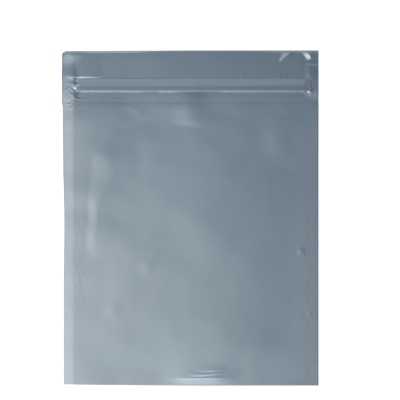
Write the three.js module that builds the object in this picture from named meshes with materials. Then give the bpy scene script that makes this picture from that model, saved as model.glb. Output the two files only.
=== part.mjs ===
// An empty anti-static zip bag, pressed flat and lying on a table with its zip closed.
// Two panels of metallised film are welded to each other along both sides and the bottom.
// Inside the mouth, a ridge strip under the front panel is pressed into a groove strip on the back panel.
// Millimetres. X runs across the bag, Y from the bottom seal to the mouth, and Z up from the table.
// The origin is on the table, under the middle of the bag.
import * as THREE from "three";

// The bag as cut.
const bagWidth = 150;
const bagHeight = 196;
const filmThickness = 0.076;
const mouthCornerRadius = 2.6;
const mouthOutOfSquare = 0.45; // how far the mouth edge falls away at its left end
const bottomOutOfSquare = 0.85; // how far the bottom edge rises at its left end
const lipOverhang = 1.2; // the back lip is this much longer than the front one

// The left edge is drawn in below the zip, where the zip no longer holds the film out.
const zipPinch = 0.55;
const sideDrawIn = 0.55;
const waistInset = 0.4;
const waistHeight = 94; // from the bottom edge to the deepest point of the waist
const waistReach = 34; // from there to where the waist ends, up or down the edge

// Heat seals.
const leftSealWidth = 6.2;
const rightSealWidth = 4;
const bottomSealHeight = 4.6;

// The air left in the pouch holds its panels apart.
const pouchDepth = 1.3;
const leftRun = 13; // how far in from each seal the film takes to rise
const rightRun = 24;
const bottomRun = 20;
const zipRun = 26;
const lipGap = 0.7;
const lipRun = 9;

// The zip's place and its two strips.
const lipHeight = 15.7; // from the mouth edge of the back panel down to the strips
const upperFlange = 1.4;
const lowerFlange = 7.1;
const webThickness = 0.18;
const webSlopeRun = 1.8; // the ridge strip's web comes down beside the jaws over this run
const filmRamp = 0.8; // the film comes down off the strips' edges over this run

// Jaws of the groove strip.
const grooveHalfWidth = 0.75;
const jawThickness = 0.4;
const jawHeight = 1.1;
const jawChamfer = 0.18;
const barbReach = 0.25;
const barbDrop = 0.35; // from the top of a jaw down to the tip of its barb
const barbUndercut = 0.1;

// Ridge of the ridge strip, which catches under the barbs.
const closedGap = 0.1; // between the jaws and the web over them, and between the ridge and the groove's floor
const ridgeClearance = 0.12; // beside the ridge, to the groove's walls and to the barbs
const ridgeTipHalfWidth = 0.2;

// A guide rib runs below the jaws, and the web rises over it by these sizes, which shows as a fine line.
const guideRibHeight = 0.24;
const guideRibHalfWidth = 0.5;
const guideRibGap = 0.7; // from the foot of the web's slope to the middle of the rib
const guideRibClearance = 0.1; // between the rib and the web over it

// The side seals crush the zip's ends.
const crushedShare = 0.17; // of the closed height
const crushRun = 4; // from a seal to where the zip has its full height
const crushBridge = 0.12; // the film stands this far off the strips where they sink

// Colours.
const filmColour = 0x9ba8b1;
const zipColour = 0xd5dbdf;

// Places worked out from the sizes above.
const left = -bagWidth / 2;
const right = bagWidth / 2;
const bottom = -bagHeight / 2;
const top = bagHeight / 2;
const leftSealInner = left + leftSealWidth;
const rightSealInner = right - rightSealWidth;
const pouchBottom = bottom + bottomSealHeight;
const jawOuter = grooveHalfWidth + jawThickness;
const humpHalfWidth = jawOuter + webSlopeRun;
const humpHeight = jawHeight + closedGap;
const zipTop = top - lipHeight;
const zipCentre = zipTop - upperFlange - humpHalfWidth;
const zipBottom = zipCentre - humpHalfWidth - lowerFlange;
const guideRibCentre = zipCentre - humpHalfWidth - guideRibGap;
const waistCentre = bottom + waistHeight;

const smooth = (from, to, value) => THREE.MathUtils.smoothstep(value, from, to);

// count equal steps from one value to another, without the first value
function steps(from, to, count) {
  return Array.from({ length: count }, (_, n) => THREE.MathUtils.lerp(from, to, (n + 1) / count));
}

// 1 over the jaws and 0 on the flanges, with a rounded slope between
function hump(y) {
  const slope = THREE.MathUtils.clamp((Math.abs(y - zipCentre) - jawOuter) / webSlopeRun, 0, 1);
  return (1 + Math.cos(Math.PI * slope)) / 2;
}

// How far the closed zip holds its two webs apart, away from its crushed ends
function spread(y) {
  const rib = Math.max(0, 1 - Math.abs(y - guideRibCentre) / guideRibHalfWidth);
  return humpHeight * hump(y) + guideRibHeight * rib;
}

// 0 in the side seals and 1 where the zip has its full height
function openness(x) {
  const fromLeft = smooth(leftSealInner, leftSealInner + crushRun, x);
  const fromRight = 1 - smooth(rightSealInner - crushRun, rightSealInner, x);
  return Math.min(fromLeft, fromRight);
}

// The share of its height that the closed zip keeps at x
function crush(x) {
  return THREE.MathUtils.lerp(crushedShare, 1, openness(x));
}

// The left edge's inset from the bag's full width
function edgeInset(y) {
  const belowZip = zipPinch * (1 - smooth(zipBottom - 4, zipBottom, y));
  const downTheSide = sideDrawIn * (1 - smooth(waistCentre, zipBottom - 10, y));
  const waist = waistInset * (1 - smooth(0, waistReach, Math.abs(y - waistCentre)));
  return belowZip + downTheSide + waist;
}

// The two cut edges that aren't square to the sides
function mouthDrop(x) {
  return mouthOutOfSquare * THREE.MathUtils.clamp((2 * -x) / bagWidth, 0, 1);
}
function bottomRise(x) {
  const share = THREE.MathUtils.clamp(0.12 - x / bagWidth / 0.57, 0, 1);
  return bottomOutOfSquare * share * share;
}

// The outline's left edge at y, for a panel whose mouth edge is at mouthY
function leftEdge(y, mouthY) {
  const intoCorner = THREE.MathUtils.clamp(y - (mouthY - mouthCornerRadius), 0, mouthCornerRadius);
  const corner = mouthCornerRadius - Math.sqrt(mouthCornerRadius ** 2 - intoCorner ** 2);
  return left + edgeInset(y) + corner;
}

// Columns and rows of the panels' grid, as places on a bag that is cut square.
const columns = [
  left,
  ...steps(left, leftSealInner, 2),
  ...steps(leftSealInner, leftSealInner + crushRun, 4),
  ...steps(leftSealInner + crushRun, rightSealInner - crushRun, 22),
  ...steps(rightSealInner - crushRun, rightSealInner, 4),
  ...steps(rightSealInner, right, 2),
];
const zipRows = [
  zipBottom,
  guideRibCentre - guideRibHalfWidth,
  guideRibCentre,
  guideRibCentre + guideRibHalfWidth,
  zipCentre - humpHalfWidth,
  ...steps(zipCentre - humpHalfWidth, zipCentre - jawOuter, 4),
  zipCentre + jawOuter,
  ...steps(zipCentre + jawOuter, zipCentre + humpHalfWidth, 4),
  zipTop,
];

// The rows of a panel whose lip ends at lipEnd
function panelRows(lipEnd) {
  const cornerStart = lipEnd - mouthCornerRadius - mouthOutOfSquare;
  const cornerTurn = mouthCornerRadius + mouthOutOfSquare;
  return [
    bottom,
    pouchBottom,
    ...steps(pouchBottom, zipBottom - filmRamp, 25),
    ...zipRows,
    zipTop + filmRamp,
    ...steps(zipTop + filmRamp, cornerStart, 3),
    ...[0.45, 0.75, 0.93, 1].map((share) => cornerStart + share * cornerTurn),
  ];
}

// Moves a point of the square grid to where it is on the bag as cut
function asCut(x, y, lipEnd) {
  const inBottomSeal = 1 - smooth(bottom, pouchBottom, y);
  const inLip = THREE.MathUtils.clamp((y - zipTop) / (lipEnd - zipTop), 0, 1);
  const cutY = y + inBottomSeal * bottomRise(x) - inLip * mouthDrop(x);
  const edge = leftEdge(cutY, lipEnd - mouthDrop(left));
  const inLeftSeal = THREE.MathUtils.clamp((leftSealInner - x) / leftSealWidth, 0, 1);
  return [THREE.MathUtils.lerp(x, Math.max(x, edge), inLeftSeal), cutY];
}

// The free space between the two panels at a point of the square grid
function panelGap(x, y) {
  const offStrips = Math.max(zipBottom - y, y - zipTop, 0);
  const sinking = 4 * openness(x) * (1 - openness(x));
  const offWebs = (2 * webThickness + crushBridge * sinking) * Math.max(0, 1 - offStrips / filmRamp);
  const overZip = offWebs + spread(y) * crush(x);
  const sides = smooth(leftSealInner, leftSealInner + leftRun, x)
    * (1 - smooth(rightSealInner - rightRun, rightSealInner, x));
  const nearZip = THREE.MathUtils.lerp(2 * webThickness, pouchDepth, 1 - smooth(zipBottom - zipRun, zipBottom, y));
  const inPouch = sides * nearZip * smooth(pouchBottom, pouchBottom + bottomRun, y);
  const lipSides = smooth(leftSealInner, leftSealInner + lipRun, x)
    * (1 - smooth(rightSealInner - lipRun, rightSealInner, x));
  const inLip = lipSides * THREE.MathUtils.lerp(2 * webThickness, lipGap, smooth(zipTop, top, y));
  if (y < zipBottom) return Math.max(overZip, inPouch);
  return y > zipTop ? Math.max(overZip, inLip) : overZip;
}

// The back panel lies flat on the table: the bag's outline, one film thick
function backPanelGeometry() {
  const rows = panelRows(top);
  const firstRow = rows[0];
  const lastRow = rows[rows.length - 1];
  const ring = [
    ...columns.map((x) => asCut(x, firstRow, top)),
    ...rows.slice(1).map((y) => asCut(right, y, top)),
    ...columns.slice(1, -1).reverse().map((x) => asCut(x, lastRow, top)),
    ...rows.slice(1).reverse().map((y) => asCut(left, y, top)),
  ];
  const outline = new THREE.Shape(ring.map(([x, y]) => new THREE.Vector2(x, y)));
  return new THREE.ExtrudeGeometry(outline, { depth: filmThickness, bevelEnabled: false });
}

// The front panel is one film thick over the seals, the pouch, the zip and the lip: a box of grid cells, moved into place
function frontPanelGeometry() {
  const lipEnd = top - lipOverhang;
  const rows = panelRows(lipEnd);
  const lastColumn = columns.length - 1;
  const lastRow = rows.length - 1;
  const sheet = new THREE.BoxGeometry(lastColumn, lastRow, 1, lastColumn, lastRow, 1);
  const point = sheet.getAttribute("position");
  for (let n = 0; n < point.count; n++) {
    const x = columns[Math.round(point.getX(n) + lastColumn / 2)];
    const y = rows[Math.round(point.getY(n) + lastRow / 2)];
    const [cutX, cutY] = asCut(x, y, lipEnd);
    const outside = point.getZ(n) > 0 ? filmThickness : 0;
    point.setXYZ(n, cutX, cutY, panelGap(x, y) + outside);
  }
  return sheet;
}

// Extrudes a strip's section, given in Y and Z about the middle of the zip, from side to side, with its ends crushed
function stripGeometry(section) {
  const stations = [
    left,
    leftSealInner,
    ...steps(leftSealInner, leftSealInner + crushRun, 4),
    rightSealInner - crushRun,
    ...steps(rightSealInner - crushRun, rightSealInner, 4),
    right,
  ];
  const length = stations.length - 1;
  const outline = new THREE.Shape(section.map(([y, z]) => new THREE.Vector2(y, z)));
  const strip = new THREE.ExtrudeGeometry(outline, { depth: length, steps: length, bevelEnabled: false });
  const point = strip.getAttribute("position");
  for (let n = 0; n < point.count; n++) {
    const y = point.getX(n);
    const z = point.getY(n);
    const x = stations[Math.round(point.getZ(n))];
    point.setXYZ(n, x, y, crushed(z, spread(zipCentre + y), crush(x)));
  }
  return strip;
}

// A strip's height z where the webs stand apart by open, once only the share kept is left of that
function crushed(z, open, kept) {
  if (z <= webThickness) return z;
  if (z <= webThickness + open) return webThickness + (z - webThickness) * kept;
  return z - open * (1 - kept);
}

// The section of one jaw, from its outer foot over its barb to its inner foot; side is 1 above the groove and -1 below
function jaw(side) {
  const jawTop = webThickness + jawHeight;
  const outline = [
    [jawOuter, webThickness],
    [jawOuter, jawTop - jawChamfer],
    [jawOuter - jawChamfer, jawTop],
    [grooveHalfWidth, jawTop],
    [grooveHalfWidth - barbReach, jawTop - barbDrop],
    [grooveHalfWidth, jawTop - barbDrop - barbUndercut],
    [grooveHalfWidth, webThickness],
  ];
  return outline.map(([y, z]) => [side * y, z]);
}

// The groove strip: a web welded to the back panel, with two barbed jaws and the guide rib
function grooveSection() {
  const rib = guideRibCentre - zipCentre;
  const ribHalfWidth = guideRibHalfWidth - guideRibClearance;
  return [
    [zipBottom - zipCentre, 0],
    [zipTop - zipCentre, 0],
    [zipTop - zipCentre, webThickness],
    ...jaw(1),
    ...jaw(-1).reverse(),
    [rib + ribHalfWidth, webThickness],
    [rib, webThickness + guideRibHeight - guideRibClearance],
    [rib - ribHalfWidth, webThickness],
    [zipBottom - zipCentre, webThickness],
  ];
}

// The ridge strip: a web that arches over the jaws, with an arrow-headed ridge reaching down between them
function ridgeSection() {
  const underside = zipRows.map((y) => [y - zipCentre, webThickness + spread(y)]);
  const outside = underside.map(([y, z]) => [y, z + webThickness]).reverse();
  const arch = webThickness + humpHeight;
  const shoulder = webThickness + jawHeight - barbDrop - barbUndercut;
  const tip = webThickness + closedGap;
  const neckHalfWidth = grooveHalfWidth - barbReach - ridgeClearance;
  const headHalfWidth = grooveHalfWidth - ridgeClearance;
  const ridge = [
    [-neckHalfWidth, arch],
    [-neckHalfWidth, shoulder],
    [-headHalfWidth, shoulder - barbUndercut],
    [-ridgeTipHalfWidth, tip],
    [ridgeTipHalfWidth, tip],
    [headHalfWidth, shoulder - barbUndercut],
    [neckHalfWidth, shoulder],
    [neckHalfWidth, arch],
  ];
  const below = underside.filter(([y]) => y < 0);
  const above = underside.filter(([y]) => y > 0);
  return [...below, ...ridge, ...above, ...outside];
}

function filmMaterial() {
  return new THREE.MeshStandardMaterial({ color: filmColour, roughness: 0.3, metalness: 0.85 });
}

function zipMaterial() {
  return new THREE.MeshStandardMaterial({ color: zipColour, roughness: 0.45, metalness: 0 });
}

function namedMesh(name, geometry, material) {
  const mesh = new THREE.Mesh(geometry, material);
  mesh.name = name;
  return mesh;
}

const backPanel = namedMesh("back_panel", backPanelGeometry(), filmMaterial());
const frontPanel = namedMesh("front_panel", frontPanelGeometry(), filmMaterial());
frontPanel.position.z = filmThickness;

const zip = new THREE.Group();
zip.position.set(0, zipCentre, filmThickness);
zip.add(namedMesh("zip_groove_strip", stripGeometry(grooveSection()), zipMaterial()));
zip.add(namedMesh("zip_ridge_strip", stripGeometry(ridgeSection()), zipMaterial()));

const bag = new THREE.Group();
bag.add(backPanel, frontPanel, zip);

export default bag;
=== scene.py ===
import math

import bpy
import numpy as np
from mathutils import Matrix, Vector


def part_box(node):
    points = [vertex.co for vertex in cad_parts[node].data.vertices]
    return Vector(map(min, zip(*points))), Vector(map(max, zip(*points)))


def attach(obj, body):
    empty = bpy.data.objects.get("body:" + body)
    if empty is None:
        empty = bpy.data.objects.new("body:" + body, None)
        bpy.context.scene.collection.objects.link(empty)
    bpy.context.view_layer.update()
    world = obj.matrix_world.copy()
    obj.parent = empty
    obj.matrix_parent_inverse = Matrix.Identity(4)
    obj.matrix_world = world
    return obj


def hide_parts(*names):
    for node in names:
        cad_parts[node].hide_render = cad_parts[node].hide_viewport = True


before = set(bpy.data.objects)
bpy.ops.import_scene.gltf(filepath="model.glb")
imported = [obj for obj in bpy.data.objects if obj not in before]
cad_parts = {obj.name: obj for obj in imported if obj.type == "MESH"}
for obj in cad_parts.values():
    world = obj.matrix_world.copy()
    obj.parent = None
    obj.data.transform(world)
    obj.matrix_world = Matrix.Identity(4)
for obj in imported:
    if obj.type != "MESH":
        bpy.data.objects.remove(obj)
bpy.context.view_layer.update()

MM = 0.001


def node_box(node):
    """A CAD node's lowest and highest corners, in millimetres."""
    low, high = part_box(node)
    return [v / MM for v in low], [v / MM for v in high]


# The bag's sizes, read from the frame, in millimetres.
back_low, back_high = node_box("back_panel")
front_low, front_high = node_box("front_panel")
zip_low, zip_high = node_box("zip_ridge_strip")
LEFT, RIGHT = back_low[0], back_high[0]
BOTTOM, TOP = back_low[1], back_high[1]
LIP_END = front_high[1]
ZIP_BOTTOM, ZIP_TOP = zip_low[1], zip_high[1]
FILM = back_high[2] - back_low[2]
ZIP_STACK = zip_high[2] - FILM

# Sizes that the frame's boxes don't give, in millimetres, as in the part's source.
LEFT_SEAL = 6.2
RIGHT_SEAL = 4.0
BOTTOM_SEAL = 4.6
CORNER_RADIUS = 2.6
MOUTH_DROP = 0.45
BOTTOM_RISE = 0.85
WEBS = 0.36
UPPER_FLANGE = 1.4
HUMP_HALF = 2.95
JAW_HALF = 1.15
RIB_GAP = 0.7
RIB_HEIGHT = 0.24
CRUSHED_SHARE = 0.17
CRUSH_RUN = 4.0

ZIP_CENTRE = ZIP_TOP - UPPER_FLANGE - HUMP_HALF
HUMP_HEIGHT = ZIP_STACK - WEBS
RIB_CENTRE = ZIP_CENTRE - HUMP_HALF - RIB_GAP
LEFT_INNER = LEFT + LEFT_SEAL
RIGHT_INNER = RIGHT - RIGHT_SEAL
BOTTOM_INNER = BOTTOM + BOTTOM_SEAL


# Shapes of single values over the bag, on arrays of millimetres.
def smooth(start, end, value):
    share = np.clip((value - start) / (end - start), 0, 1)
    return share * share * (3 - 2 * share)


def bell(value, centre, half):
    return np.exp(-((value - centre) / half) ** 2)


def span(value, start, end, fade):
    """1 between start and end, fading to 0 over fade on both sides."""
    return smooth(start - fade, start, value) * (1 - smooth(end, end + fade, value))


def clouds(x, y, size, seed, waves=48):
    """A smooth random field of about unit height, with swells of about the given size."""
    rng = np.random.default_rng(seed)
    turn = rng.uniform(0, 2 * math.pi, waves)
    pitch = 2 * math.pi / (size * rng.uniform(0.7, 1.6, waves))
    phase = rng.uniform(0, 2 * math.pi, waves)
    field = np.zeros_like(x)
    for t, p, f in zip(turn, pitch, phase):
        field += np.cos(p * (x * math.cos(t) + y * math.sin(t)) + f)
    return field / math.sqrt(waves / 2)


def mound(x, y, centre, halves, turn=0.0):
    """A rounded bump of unit height, with its own half lengths, turned by degrees."""
    c, s = math.cos(math.radians(turn)), math.sin(math.radians(turn))
    dx, dy = x - centre[0], y - centre[1]
    return np.exp(-((dx * c + dy * s) / halves[0]) ** 2 - ((-dx * s + dy * c) / halves[1]) ** 2)


def crease(x, y, path, left_half, right_half, sharp=False):
    """A ridge of unit height along a path, with its own reach to its left and right.

    It is rounded, or it has flat sides if it is sharp.
    """
    path = np.array(path, dtype=float)
    lengths = np.linalg.norm(np.diff(path, axis=0), axis=1)
    total, done = lengths.sum(), 0.0
    nearest = np.full(x.shape, 1e9)
    signed, along = np.zeros_like(x), np.zeros_like(x)
    for a, b, length in zip(path[:-1], path[1:], lengths):
        d = (b - a) / length
        t = np.clip((x - a[0]) * d[0] + (y - a[1]) * d[1], 0, length)
        ox, oy = x - a[0] - t * d[0], y - a[1] - t * d[1]
        off = np.hypot(ox, oy)
        closer = off < nearest
        nearest = np.where(closer, off, nearest)
        signed = np.where(closer, np.sign(d[0] * oy - d[1] * ox) * off, signed)
        along = np.where(closer, (done + t) / total, along)
        done += length
    away = nearest / np.where(signed > 0, left_half, right_half)
    side = np.clip(1 - away, 0, 1) if sharp else np.exp(-away ** 2)
    return side * np.sin(np.clip(along, 0, 1) * math.pi) ** 0.7


def creases(x, y, rows):
    """The sum of several ridges, each given by its height, path, two reaches and whether it is sharp."""
    field = np.zeros_like(x)
    for height, path, left_half, right_half, sharp in rows:
        field = field + height * crease(x, y, path, left_half, right_half, sharp)
    return field


def mounds(x, y, rows):
    """The sum of several bumps, each given by its height, centre, half lengths and turn."""
    field = np.zeros_like(x)
    for height, centre, halves, turn in rows:
        field = field + height * mound(x, y, centre, halves, turn)
    return field


def fan(x, y, apex, toward, half_angle):
    """A fold that widens and rises by one in one from its apex, towards an angle in degrees from X."""
    dx, dy = x - apex[0], y - apex[1]
    turn = np.degrees(np.arctan2(dy, dx)) - toward
    return np.hypot(dx, dy) * (1 - smooth(0.5, 1.0, np.abs((turn + 180) % 360 - 180) / half_angle))


# The bag's outline
def left_edge(y, mouth):
    below_zip = 0.55 * (1 - smooth(ZIP_BOTTOM - 4, ZIP_BOTTOM, y))
    down_side = 0.55 * (1 - smooth(-4, ZIP_BOTTOM - 10, y))
    waist = 0.4 * (1 - smooth(0, 34, np.abs(y + 4)))
    into = np.clip(y - (mouth - CORNER_RADIUS), 0, CORNER_RADIUS)
    corner = CORNER_RADIUS - np.sqrt(CORNER_RADIUS ** 2 - into ** 2)
    return LEFT + below_zip + down_side + waist + corner


def as_cut(u, v, lip_end):
    """Where a point of a square-cut bag is on the real one."""
    bottom = BOTTOM_RISE * np.clip(0.12 - u / (RIGHT - LEFT) / 0.57, 0, 1) ** 2
    drop = MOUTH_DROP * np.clip(-2 * u / (RIGHT - LEFT), 0, 1)
    in_lip = np.clip((v - ZIP_TOP) / (lip_end - ZIP_TOP), 0, 1)
    y = v + (1 - smooth(BOTTOM, BOTTOM_INNER, v)) * bottom - in_lip * drop
    edge = left_edge(y, lip_end - MOUTH_DROP)
    in_seal = np.clip((LEFT_INNER - u) / LEFT_SEAL, 0, 1)
    return u + in_seal * (np.maximum(u, edge) - u), y


# Wrinkles, in millimetres: height, path, reach to its left and right, and whether its sides are flat
BOTTOM_CREASES = [
    (0.03, [(-8, -93.4), (8, -93.5), (22, -93.3)], 0.5, 1.0, True),
    (0.10, [(2, -89.4), (15.1, -89.1), (22, -88.1)], 4.0, 0.8, True),
    (0.10, [(-2, -91.9), (8, -91.9), (13.8, -91.3), (21, -90.2)], 3.0, 0.8, True),
]
LIP_CREASES = [
    (0.14, [(-73, 82.5), (-51.5, 82.5)], 15.0, 0.9, True),
    (0.60, [(67.4, 99), (68.9, 96.6), (70.9, 94), (71.3, 93)], 2.0, 2.8, True),
    (0.09, [(59, 75.6), (67.5, 75.2), (69.5, 74.6)], 0.7, 0.7, True),
    (0.08, [(68, 90.3), (72, 90.1), (76.5, 89.9)], 2.4, 0.7, True),
    (0.10, [(-74, 97), (-69, 95.8), (-62, 97)], 1.8, 2.6, False),
    (0.05, [(31.5, 84), (30.6, 80.8)], 0.6, 0.9, False),
    (0.06, [(53, 84.2), (51.6, 80.6)], 0.6, 0.9, False),
]
BODY_CREASES = [
    (0.23, [(0.4, 76), (0.2, 64), (-0.4, 58), (-0.8, 54)], 9.0, 7.5, False),
    (0.05, [(-36, 66), (-31, 62), (-30, 57)], 5.0, 2.2, False),
    (0.02, [(-50, 42), (-50.5, 28), (-54, 10), (-56, -4)], 5.0, 5.0, False),
    (0.09, [(53, 60), (50.5, 45), (51, 30)], 7.0, 6.0, False),
    (0.012, [(44, 40), (44.5, 20), (46, 5), (51, -14), (49, -24)], 1.8, 1.8, False),
    (0.10, [(62.8, -19.7), (67.2, -19.9)], 1.2, 1.2, False),
]

# Dents and bumps, in millimetres: height, centre, half lengths, and turn in degrees
BODY_MOUNDS = [
    (-0.03, (-40, 53), (3.5, 2.5), 0),
    (0.09, (-25, -29), (4, 3), 30),
    (0.09, (-45, -55), (4, 4), 0),
    (0.14, (28, -78), (15, 9), 15),
    (0.07, (41, -73), (8, 7), 60),
    (0.06, (69.5, -56), (1.0, 1.2), 0),
]

# The stretches of the rib over which the film is pulled tight: start, end and how it fades, along X
TIGHT_STRETCHES = [(-62, -28, 2), (-16, -9, 3), (21, 46, 3), (49, 66, 2)]

# Heights of the large forms, in millimetres
SEAL_CREST = 0.48
BOTTOM_LIFT = 0.30
LIP_LIFT = 0.17

# Along Y, in millimetres, the left crest passes here from both panels to the front one alone
CREST_FROM = 56
CREST_TO = 66


def openness(u):
    """0 in the side seals, which crush the zip, and 1 where it has its full height."""
    from_left = smooth(LEFT_INNER, LEFT_INNER + CRUSH_RUN, u)
    return from_left * (1 - smooth(RIGHT_INNER - CRUSH_RUN, RIGHT_INNER, u))


def kept_height(u):
    return CRUSHED_SHARE + (1 - CRUSHED_SHARE) * openness(u)


def seal_slope(u, v):
    """The left seal climbs from the bag's edge to a crest along the weld, and falls away behind it."""
    climb = 1 - (1 - np.clip((u - LEFT) / (LEFT_SEAL + 0.6), 0, 1)) ** 1.35
    fall = 1 - smooth(0, 1, (u - LEFT_INNER) / 42)
    upper = 0.4 * smooth(2, 16, v) * (1 - 0.5 * smooth(50, TOP, v))
    return SEAL_CREST * (1 + upper + 0.05 * clouds(u * 0.3, v, 26, 3)) * climb * fall


def trough(v):
    """1 along the stretch of the left side where the film lies down beside the seal."""
    return smooth(-27, -4, v) * (1 - smooth(34, 45, v))


def lift(u, v):
    """How far the two sealed panels stand off the table together."""
    fold = BOTTOM_LIFT * smooth(-22, 3, u) * (1 - smooth(11, 32, u)) * (1 - smooth(-93, -68, v))
    fold = fold * np.clip((v - BOTTOM) / 4.5, 0, 1)
    fold = fold + creases(u, v, BOTTOM_CREASES)
    return fold + seal_slope(u, v) * (1 - smooth(CREST_FROM, CREST_TO, v))


def zip_gap(u, v):
    """The film over the closed zip: a ridged hump, a fine rib below it and the strips' lower edge."""
    over_strips = smooth(ZIP_BOTTOM - 45, ZIP_BOTTOM + 1, v)
    flange_edge = 0.012 * bell(v, ZIP_BOTTOM, 0.9)
    shoulder, foot = JAW_HALF + 0.3, HUMP_HALF + 0.45
    hump = np.interp(v - ZIP_CENTRE, [-foot, -shoulder, -0.2, shoulder, foot], [0, 0.98, 1.4, 0.96, 0])
    hump = np.minimum(hump, 1.05 + 0.35 * openness(u))
    tight = sum(span(u, start, end, fade) for start, end, fade in TIGHT_STRETCHES)
    pulled = np.interp(v - RIB_CENTRE, [-0.75, -0.15, 0.4, 0.85], [0, 0.88, 0.95, 0])
    slack = np.interp(v - RIB_CENTRE, [-0.54, 0, 0.54], [0, 1.02, 0])
    rib = pulled * tight + slack * (1 - tight)
    reach = np.where(v > ZIP_CENTRE, 13, np.where(u < 0, 17, 9))
    crushed = 1 - smooth(0, 1, (np.abs(v - ZIP_CENTRE) - 3) / (reach - 3))
    crushed = 1.05 * CRUSHED_SHARE * HUMP_HEIGHT * (1 - openness(u)) * crushed
    raised = np.maximum(HUMP_HEIGHT * hump, RIB_HEIGHT * rib) * kept_height(u)
    return WEBS * over_strips - flange_edge + np.maximum(raised, crushed) + 0.03


def lip_marks(u, v):
    """The wrinkles of the front panel's lip, which stand where the zip and the seals hold it in."""
    raised_left = LIP_LIFT * smooth(ZIP_TOP - 2, TOP, v) * (1 - smooth(-64, -4, u))
    zip_end = 0.14 * mound(u, v, (70.2, 74.2), (1.0, 0.8))
    return creases(u, v, LIP_CREASES) + raised_left + zip_end + 0.07 * fan(u, v, (52, 91.2), 52, 26)


def crinkles(u, v):
    """Sharp small folds where the seals crush the zip and where the seals were creased."""
    folds = np.maximum(0, 1 - 1.5 * np.abs(clouds(u, v, 4.2, 21)))
    left_end = span(u, -69.5, -65.5, 3) * span(v, 64, 81, 4) * 0.55
    right_end = smooth(66, 68.5, u) * (1 - smooth(70.6, 71.6, u)) * span(v, 73.6, 76.2, 1.5)
    corner = 0.6 * smooth(70.3, 72, u) * smooth(88, 92, v)
    seal = 0.35 * (1 - smooth(-70, -67.5, u))
    seal = seal + 0.7 * (1 - smooth(-62, -50, u)) * span(v, -48, -31, 7)
    creased = np.clip(left_end + 0.7 * corner + 0.5 * seal, 0, 1)
    fine = np.maximum(0, 1 - 1.5 * np.abs(clouds(u, v, 3.2, 22)))
    in_right_seal = smooth(RIGHT_INNER - 0.3, RIGHT_INNER + 0.3, u)
    ripples = 0.012 * np.sin(2 * math.pi * (u - 71.3) / 1.2) * in_right_seal
    return 0.08 * folds * creased + 0.13 * fine * right_end + ripples


def gap(u, v):
    """The free space between the two panels."""
    sides = smooth(LEFT_INNER, LEFT_INNER + 36, u)
    start = LEFT_INNER + 9 + 0.8 * clouds(0 * u, v, 22, 5)
    rise = (u - start) / (5 + 9 * smooth(5, 26, v))
    in_trough = np.clip(0.6 * rise + 0.4 * smooth(0, 1, rise), 0, 1)
    sides = sides + 0.7 * trough(v) * (in_trough - sides)
    sides = sides * (1 - smooth(RIGHT_INNER - 60, RIGHT_INNER, u))
    held = smooth(LEFT_INNER, LEFT_INNER + 6, u) * (1 - smooth(RIGHT_INNER - 6, RIGHT_INNER, u))
    sides = sides + (held - sides) * smooth(ZIP_BOTTOM - 34, ZIP_BOTTOM, v)
    pouch = sides * WEBS * smooth(BOTTOM_INNER, BOTTOM_INNER + 25, v)
    inside = np.where(v > ZIP_CENTRE, WEBS, pouch)
    swells = 0.025 * clouds(u, v, 40, 11) + 0.006 * clouds(u, v, 18, 12)
    swells = sides * smooth(ZIP_BOTTOM + 3, ZIP_BOTTOM - 6, v) * swells
    marks = creases(u, v, BODY_CREASES) + mounds(u, v, BODY_MOUNDS)
    open_gap = np.maximum(zip_gap(u, v), inside) + np.maximum(swells + marks, -0.2)
    crest_over_zip = 0.96 * seal_slope(u, v) * smooth(CREST_FROM, CREST_TO, v)
    return np.maximum(open_gap + crest_over_zip + lip_marks(u, v) + crinkles(u, v), 0.01)


def grid_steps(stops):
    """Places along a side. Each stop is the start of a stretch and its step, and the last ends the side."""
    places = []
    for (start, step), (end, _) in zip(stops[:-1], stops[1:]):
        count = max(1, round((end - start) / step))
        places += list(np.linspace(start, end, count, endpoint=False))
    return np.array(places + [stops[-1][0]])


def sheet_mesh(name, x, y, low, high):
    """A closed sheet over a grid of places, between its low and high sides, in millimetres."""
    rows, columns = x.shape
    count = rows * columns
    points = np.concatenate([
        np.stack([x, y, high], axis=-1).reshape(-1, 3),
        np.stack([x, y, low], axis=-1).reshape(-1, 3),
    ]) * MM
    index = np.arange(count).reshape(rows, columns)
    a, b, c, d = index[:-1, :-1], index[:-1, 1:], index[1:, 1:], index[1:, :-1]
    top = np.stack([a, b, c, d], axis=-1).reshape(-1, 4)
    under = np.stack([a, d, c, b], axis=-1).reshape(-1, 4) + count
    rim = np.concatenate([index[0, :], index[1:, -1], index[-1, -2::-1], index[-2::-1, 0]])
    start, end = rim[:-1], rim[1:]
    sides = np.stack([end, start, start + count, end + count], axis=-1)
    mesh = bpy.data.meshes.new(name)
    mesh.from_pydata(points.tolist(), [], np.concatenate([top, under, sides]).tolist())
    mesh.polygons.foreach_set("use_smooth", [True] * (len(top) + len(under)) + [False] * len(sides))
    mesh.update()
    piece = bpy.data.objects.new(name, mesh)
    bpy.context.collection.objects.link(piece)
    return piece


COLUMNS = grid_steps([
    (LEFT, 0.42), (LEFT_INNER + 4, 0.8), (LEFT_INNER + 16, 1.25), (29, 0.5), (33, 1.25), (50, 0.6),
    (RIGHT_INNER - 5, 0.4), (RIGHT, 0),
])


def film_rows(lip_end):
    return grid_steps([
        (BOTTOM, 0.42), (BOTTOM_INNER + 7, 1.15), (ZIP_BOTTOM - 5, 0.6), (ZIP_BOTTOM - 1, 0.4),
        (RIB_CENTRE - 1, 0.1), (RIB_CENTRE + 1, 0.2), (ZIP_CENTRE - 0.35, 0.05),
        (ZIP_CENTRE - 0.05, 0.2), (ZIP_TOP + 1.2, 0.5), (lip_end, 0),
    ])


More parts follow.
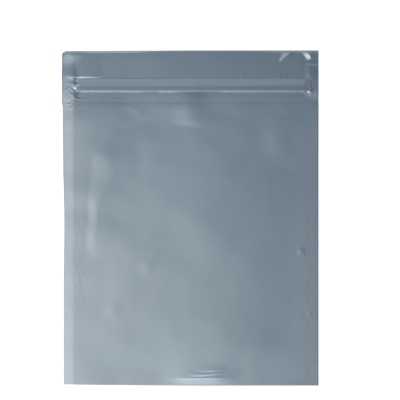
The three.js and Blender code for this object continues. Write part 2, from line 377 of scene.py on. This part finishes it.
def make_front_film():
    u, v = np.meshgrid(COLUMNS, film_rows(LIP_END))
    x, y = as_cut(u, v, LIP_END)
    bow = 0.75
    y = y + bow * span(u, -12, 32, 26) * smooth(LIP_END - 4, LIP_END, v)
    low = FILM + np.maximum(lift(u, v), 0) + gap(u, v)
    return sheet_mesh("front_film", x, y, low, low + FILM)


def make_back_film():
    u, v = np.meshgrid(COLUMNS, film_rows(TOP))
    x, y = as_cut(u, v, TOP)
    sealed = 1 - smooth(LEFT_INNER, LEFT_INNER + 9, u) * (1 - smooth(RIGHT_INNER - 9, RIGHT_INNER, u))
    low = np.maximum(lift(u, v), 0) + 0.8 * WEBS * sealed * smooth(ZIP_TOP, ZIP_TOP + 10, v)
    low = low + 0.08 * smooth(TOP - 3, TOP, v) * (1 - sealed)
    return sheet_mesh("back_film", x, y, low, low + FILM)


# Materials
class Nodes:
    """Adds nodes to a tree in few words."""

    def __init__(self, tree):
        self.tree = tree
        tree.nodes.clear()

    def add(self, kind, inputs=None, **settings):
        node = self.tree.nodes.new(kind)
        for key, value in settings.items():
            setattr(node, key, value)
        for key, value in (inputs or {}).items():
            if isinstance(value, bpy.types.NodeSocket):
                self.tree.links.new(value, node.inputs[key])
            else:
                node.inputs[key].default_value = value
        return node

    def calculate(self, operation, a, b=0.0, c=0.0):
        node = self.add("ShaderNodeMath", {0: a, 1: b, 2: c}, operation=operation)
        return node.outputs[0]

    def ramp(self, value, low, high, to_low=0.0, to_high=1.0):
        node = self.add(
            "ShaderNodeMapRange",
            {"Value": value, "From Min": low, "From Max": high, "To Min": to_low, "To Max": to_high},
            interpolation_type="SMOOTHSTEP",
        )
        return node.outputs["Result"]

    def noise(self, where, scale, detail=2.0, roughness=0.5):
        node = self.add(
            "ShaderNodeTexNoise",
            {"Vector": where, "Scale": scale, "Detail": detail, "Roughness": roughness},
        )
        return node.outputs["Fac"]

    def mix(self, share, a, b):
        node = self.add("ShaderNodeMix", data_type="RGBA")
        for socket, value in ((node.inputs["Factor"], share), (node.inputs[6], a), (node.inputs[7], b)):
            if isinstance(value, bpy.types.NodeSocket):
                self.tree.links.new(value, socket)
            else:
                socket.default_value = value
        return node.outputs[2]


def new_material(name):
    material = bpy.data.materials.new(name)
    material.use_nodes = True
    return material, Nodes(material.node_tree)


FILM_COLOUR = (0.31, 0.375, 0.42, 1)
FILM_COLOUR_PALE = (0.34, 0.405, 0.45, 1)
INNER_COLOUR = (0.50, 0.53, 0.55, 1)


def film_material(name, inside_up):
    """Metallised film. Its inner face, which is up on the back panel, is paler and browner."""
    material, n = new_material(name)
    where = n.add("ShaderNodeTexCoord").outputs["Object"]
    normal = n.add("ShaderNodeNewGeometry").outputs["True Normal"]
    up = n.add("ShaderNodeSeparateXYZ", {"Vector": normal}).outputs["Z"]
    inner = n.ramp(up, -0.3, 0.3, *((0.0, 1.0) if inside_up else (1.0, 0.0)))
    broad = n.noise(where, 28, 3)
    fine = n.noise(where, 420, 2)
    grain = n.noise(where, 2600, 2)
    colour = n.mix(inner, n.mix(broad, FILM_COLOUR, FILM_COLOUR_PALE), INNER_COLOUR)
    rough = n.calculate("ADD", n.calculate("MULTIPLY", fine, 0.06), 0.2)
    mottle = n.calculate("MULTIPLY_ADD", n.noise(where, 190, 2), 0.3, n.noise(where, 60, 3, 0.45))
    relief = n.add("ShaderNodeBump", {"Height": mottle, "Strength": 1.0, "Distance": 0.000045})
    skin = n.add(
        "ShaderNodeBump",
        {"Height": grain, "Strength": 0.25, "Distance": 0.00002, "Normal": relief.outputs[0]},
    )
    shader = n.add("ShaderNodeBsdfPrincipled", {
        "Base Color": colour, "Metallic": 0.9, "Roughness": rough, "Normal": skin.outputs[0],
        "Coat Weight": 0.25, "Coat Roughness": 0.15,
    })
    n.add("ShaderNodeOutputMaterial", {"Surface": shader.outputs[0]})
    return material


def zip_material():
    material, n = new_material("zip_strip_plastic")
    where = n.add("ShaderNodeTexCoord").outputs["Object"]
    colour = n.mix(n.noise(where, 150, 2), (0.74, 0.79, 0.82, 1), (0.82, 0.86, 0.88, 1))
    grain = n.noise(where, 900, 2)
    relief = n.add("ShaderNodeBump", {"Height": grain, "Strength": 0.3, "Distance": 0.00003})
    shader = n.add("ShaderNodeBsdfPrincipled", {
        "Base Color": colour, "Roughness": 0.42, "Normal": relief.outputs[0], "Subsurface Weight": 0.2,
        "Subsurface Scale": 0.001,
    })
    n.add("ShaderNodeOutputMaterial", {"Surface": shader.outputs[0]})
    return material


def set_material(piece, material):
    piece.data.materials.clear()
    piece.data.materials.append(material)


# Studio
AMBIENT = (0.165, 0.222, 0.295, 1)
HORIZON = (0.40, 0.43, 0.47, 1)
HORIZON_LEFT = (0.76, 0.81, 0.88, 1)
SOFTBOX_TOP = (1.40, 1.50, 1.57, 1)
SOFTBOX_BOTTOM = (1.30, 1.27, 1.25, 1)
SOFTBOX_LEFT_TOP = (2.5, 2.4, 2.3, 1)
SOFTBOX_LEFT_BOTTOM = (1.62, 1.53, 1.47, 1)
SOFTBOX_MIDDLE = (2.4, 2.25, 2.15, 1)
SOFTBOX_RIM = (4.2, 4.1, 4.0, 1)


def seen_directly(n):
    """1 for what the camera sees, straight or in a reflection or through glass."""
    path = n.add("ShaderNodeLightPath").outputs
    seen = n.calculate("MAXIMUM", path["Is Camera Ray"], path["Is Transmission Ray"])
    return n.calculate("MAXIMUM", seen, path["Is Glossy Ray"])


def make_world():
    """One large softbox over the left and the bottom of the bag, in a dim blue room with a paler horizon."""
    world = bpy.data.worlds.new("studio")
    bpy.context.scene.world = world
    world.use_nodes = True
    n = Nodes(world.node_tree)
    direction = n.add("ShaderNodeTexCoord").outputs["Generated"]
    axis = n.add("ShaderNodeSeparateXYZ", {"Vector": direction}).outputs
    x, y = axis["X"], axis["Y"]

    def band(value, start, full, last, end):
        """0 outside start and end, 1 between full and last."""
        return n.calculate("MULTIPLY", n.ramp(value, start, full), n.ramp(value, end, last))

    across = n.calculate("MULTIPLY", n.ramp(x, 0.20, -0.17), n.ramp(x, -0.42, -0.60, 1.0, 0.35))
    along = n.ramp(y, 0.15, -0.06)
    below = n.ramp(y, -0.40, -0.56, 1.0, 0.11)
    softbox = n.calculate("MULTIPLY", n.calculate("MULTIPLY", across, along), below)
    lit = n.mix(n.ramp(y, 0.08, -0.06), SOFTBOX_TOP, SOFTBOX_BOTTOM)
    left = n.mix(n.ramp(y, -0.06, 0.04), SOFTBOX_LEFT_BOTTOM, SOFTBOX_LEFT_TOP)
    lit = n.mix(n.ramp(x, -0.13, -0.25), lit, left)
    middle = n.calculate(
        "MULTIPLY", band(x, -0.03, -0.08, -0.10, -0.16), band(y, 0.08, 0.02, -0.03, -0.10),
    )
    lit = n.mix(middle, lit, SOFTBOX_MIDDLE)
    lit = n.mix(n.ramp(y, -0.20, -0.30), lit, SOFTBOX_RIM)
    far = n.calculate("MAXIMUM", n.ramp(y, 0.30, 0.50), n.ramp(x, 0.28, 0.50))
    ambient = n.mix(far, AMBIENT, n.mix(across, HORIZON, HORIZON_LEFT))
    light = n.mix(softbox, ambient, lit)
    seen_by_camera = n.add("ShaderNodeLightPath").outputs["Is Camera Ray"]
    colour = n.mix(seen_by_camera, light, (1, 1, 1, 1))
    background = n.add("ShaderNodeBackground", {"Color": colour, "Strength": 1.0})
    n.add("ShaderNodeOutputWorld", {"Surface": background.outputs[0]})


def make_floor():
    half = 3.0
    corners = [(-half, -half, 0), (half, -half, 0), (half, half, 0), (-half, half, 0)]
    mesh = bpy.data.meshes.new("floor")
    mesh.from_pydata(corners, [], [(0, 1, 2, 3)])
    floor = bpy.data.objects.new("floor", mesh)
    bpy.context.collection.objects.link(floor)
    material, n = new_material("white_floor")
    diffuse = n.add("ShaderNodeBsdfDiffuse", {"Color": (0.85, 0.85, 0.85, 1)})
    strength = n.calculate("MULTIPLY", seen_directly(n), 0.62)
    glow = n.add("ShaderNodeEmission", {"Color": (1, 1, 1, 1), "Strength": strength})
    both = n.add("ShaderNodeAddShader", {0: diffuse.outputs[0], 1: glow.outputs[0]})
    n.add("ShaderNodeOutputMaterial", {"Surface": both.outputs[0]})
    set_material(floor, material)


def make_camera():
    """Straight above the bag, which is a little off the middle of the photograph's square frame."""
    distance = 0.9
    frame_span = 233.9 * MM
    off_x, off_y = 5.7 * MM, 10.5 * MM
    data = bpy.data.cameras.new("camera")
    data.sensor_width = 36
    data.lens = data.sensor_width * distance / frame_span
    camera = bpy.data.objects.new("camera", data)
    bpy.context.collection.objects.link(camera)
    camera.location = (off_x, off_y, distance)
    bpy.context.scene.camera = camera


bpy.context.scene.view_settings.view_transform = "Standard"
make_camera()
make_world()
make_floor()

front_film = make_front_film()
set_material(front_film, film_material("film_front", inside_up=False))
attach(front_film, "root")
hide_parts("front_panel")

back_film = make_back_film()
set_material(back_film, film_material("film_back", inside_up=True))
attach(back_film, "root")
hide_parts("back_panel")

plastic = zip_material()
for strip in ("zip_ridge_strip", "zip_groove_strip"):
    set_material(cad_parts[strip], plastic)
